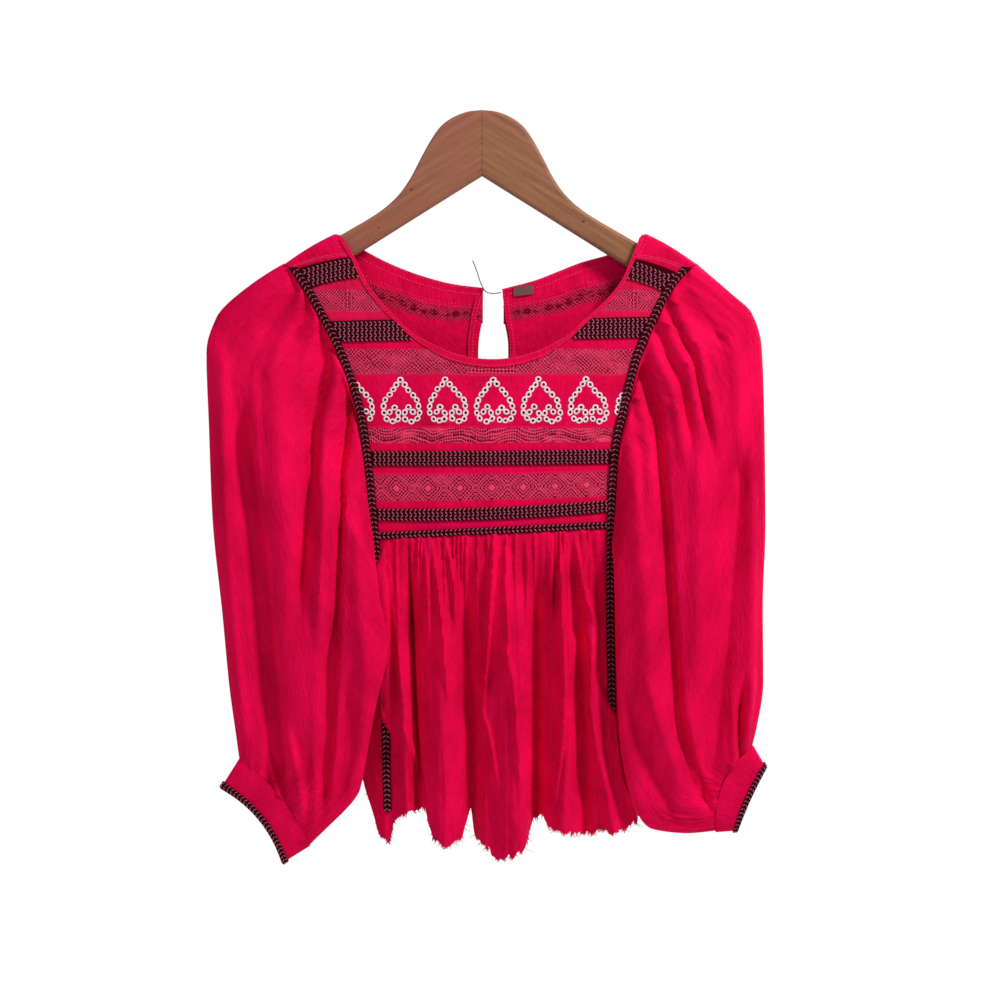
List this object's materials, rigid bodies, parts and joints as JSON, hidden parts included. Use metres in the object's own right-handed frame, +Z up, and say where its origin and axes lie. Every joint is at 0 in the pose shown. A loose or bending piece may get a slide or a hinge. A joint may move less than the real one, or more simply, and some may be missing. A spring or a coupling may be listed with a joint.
{
  "type": "peasant blouse on a hanger",
  "caption": "Crinkled raspberry peasant blouse with lace and braid yoke, ring embroidery, gathered skirt and bishop sleeves, hanging on a wooden hanger",
  "frame": {"origin": "top of the hanger's head, on the seam between its two halves", "axes": "+Z up; the front of the blouse faces -Y; +X runs to the right as seen from the front"},
  "size_m": [0.5289, 0.0755, 0.713],
  "materials": {
    "cloth": "soft crinkled gauze with a slight sheen",
    "lace": "openwork net",
    "braid": "matte chevron braid",
    "embroidery": "raised satin-stitch rings",
    "wood": "satin varnish",
    "label": "plain woven tab",
    "thread": "twisted thread"
  },
  "bodies": {
    "root": {"hanger_left": "wood", "hanger_right": "wood", "label": "label", "keyhole_thread": "thread", "front_lace": "lace", "narrow_lace": "lace", "diamond_lace": "lace", "embroidered_panel": "cloth", "plain_strip_1": "cloth", "plain_strip_2": "cloth", "plain_strip_3": "cloth", "plain_strip_4": "cloth", "front_skirt": "cloth", "back_skirt": "cloth", "front_neck_binding": "cloth", "braid_3": "braid", "braid_4": "braid", "braid_5": "braid", "shoulder_left": "cloth", "upper_lace_left": "lace", "yoke_strip_left": "cloth", "braid_1_left": "braid", "braid_2_left": "braid", "front_trim_left": "braid", "side_panel_left": "cloth", "back_neck_binding_left": "cloth", "back_neck_band_left": "cloth", "back_lace_left": "lace", "back_yoke_left": "cloth", "keyhole_binding_left": "cloth", "sleeve_left": "cloth", "cuff_left": "cloth", "cuff_braid_left": "braid", "shoulder_right": "cloth", "upper_lace_right": "lace", "yoke_strip_right": "cloth", "braid_1_right": "braid", "braid_2_right": "braid", "front_trim_right": "braid", "side_panel_right": "cloth", "back_neck_binding_right": "cloth", "back_neck_band_right": "cloth", "back_lace_right": "lace", "back_yoke_right": "cloth", "keyhole_binding_right": "cloth", "sleeve_right": "cloth", "cuff_right": "cloth", "cuff_braid_right": "braid"}
  },
  "joints": []
}
